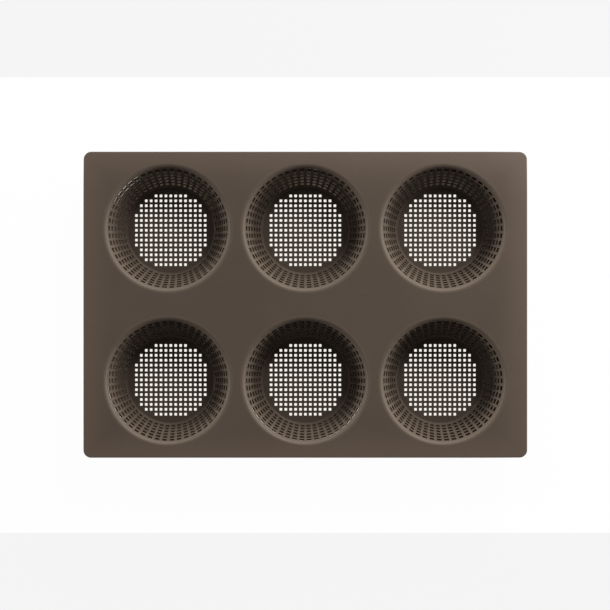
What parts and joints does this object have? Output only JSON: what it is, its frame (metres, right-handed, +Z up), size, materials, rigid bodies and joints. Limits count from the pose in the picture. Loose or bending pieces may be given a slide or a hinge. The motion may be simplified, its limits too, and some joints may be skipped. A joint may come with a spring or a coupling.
{
  "type": "perforated bread roll tray",
  "caption": "Flat rectangular silicone tray with round tapered cups hanging below its deck, vented by slotted walls and square mesh floors, for baking bread rolls.",
  "frame": {"origin": "on the surface the tray stands on, under the middle of the deck", "axes": "+X along the deck's length, +Y across it towards the back row of cups, +Z up out of the cups"},
  "size_m": [0.29, 0.2, 0.028],
  "materials": {
    "silicone": "matte"
  },
  "bodies": {
    "root": {"deck": "silicone", "cup_1_wall": "silicone", "cup_1_floor": "silicone", "cup_2_wall": "silicone", "cup_2_floor": "silicone", "cup_3_wall": "silicone", "cup_3_floor": "silicone", "cup_4_wall": "silicone", "cup_4_floor": "silicone", "cup_5_wall": "silicone", "cup_5_floor": "silicone", "cup_6_wall": "silicone", "cup_6_floor": "silicone"}
  },
  "joints": []
}
